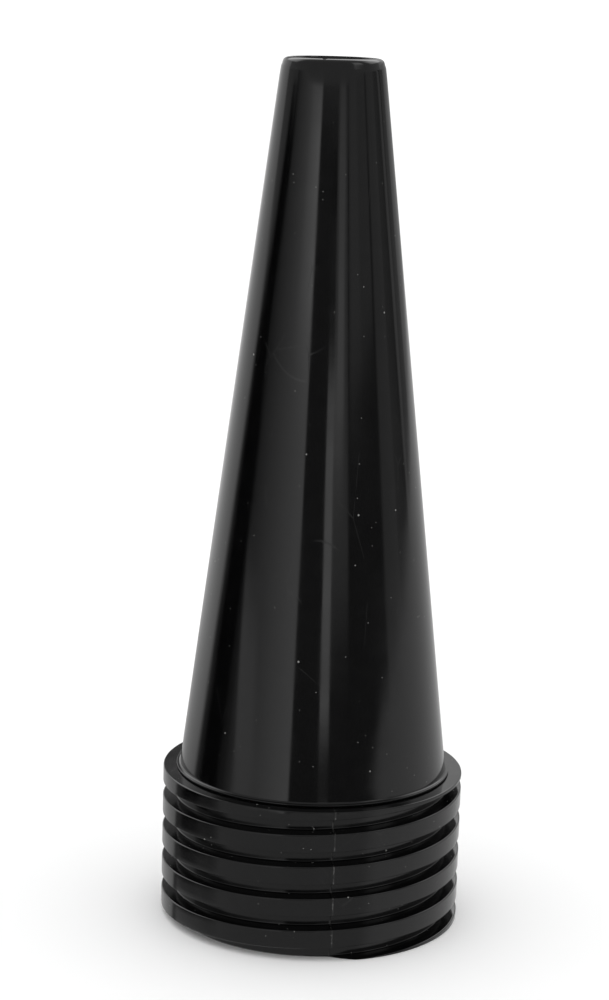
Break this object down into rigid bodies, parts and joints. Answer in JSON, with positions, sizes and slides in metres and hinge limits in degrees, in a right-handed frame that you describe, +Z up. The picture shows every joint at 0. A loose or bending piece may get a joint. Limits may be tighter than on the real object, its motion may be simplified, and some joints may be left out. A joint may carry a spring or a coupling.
{
  "type": "studio light snoot",
  "caption": "Tall tapered light tube that turns in a coarse-threaded screw-in collar, with a lift-out honeycomb grid in its narrow nose.",
  "frame": {"origin": "middle of the collar's bottom face, on the axis of the tube", "axes": "+Z up the tube from the collar to the nose, -Y the front, +X the right-hand side seen from the front"},
  "size_m": [0.102, 0.102, 0.2905],
  "materials": {
    "collar_plastic": "glossy moulded black, with a faint parting line and rough flash on the top edge",
    "nylon": "natural nylon",
    "cone_plastic": "glossy moulded black with fine hairline scratches",
    "liner": "matt black flock",
    "acetal": "plain moulded acetal",
    "spring_steel": "oiled spring steel",
    "gasket_rubber": "matt black foam rubber",
    "holder_aluminium": "turned and black anodised",
    "seal_rubber": "smooth black rubber",
    "honeycomb": "black coated foil",
    "ring_steel": "spring steel"
  },
  "bodies": {
    "collar": {"threaded_collar": "collar_plastic", "swivel_washer": "nylon"},
    "cone": {"cone_shell": "cone_plastic", "inner_liner": "liner", "thrust_washer": "acetal", "collar_snap_ring": "spring_steel", "mouth_gasket": "gasket_rubber"},
    "grid": {"grid_holder": "holder_aluminium", "grid_o_ring": "seal_rubber", "honeycomb_grid": "honeycomb", "grid_snap_ring": "ring_steel"}
  },
  "joints": [
    {"name": "collar_swivel", "type": "hinge", "parent": "collar", "child": "cone", "pos_m": [0, 0, 0.0512], "axis": [0, 0, 1], "continuous": true},
    {"name": "grid_pull", "type": "slide", "parent": "cone", "child": "grid", "axis": [0, 0, 1], "range_m": [0, 0.018]}
  ]
}
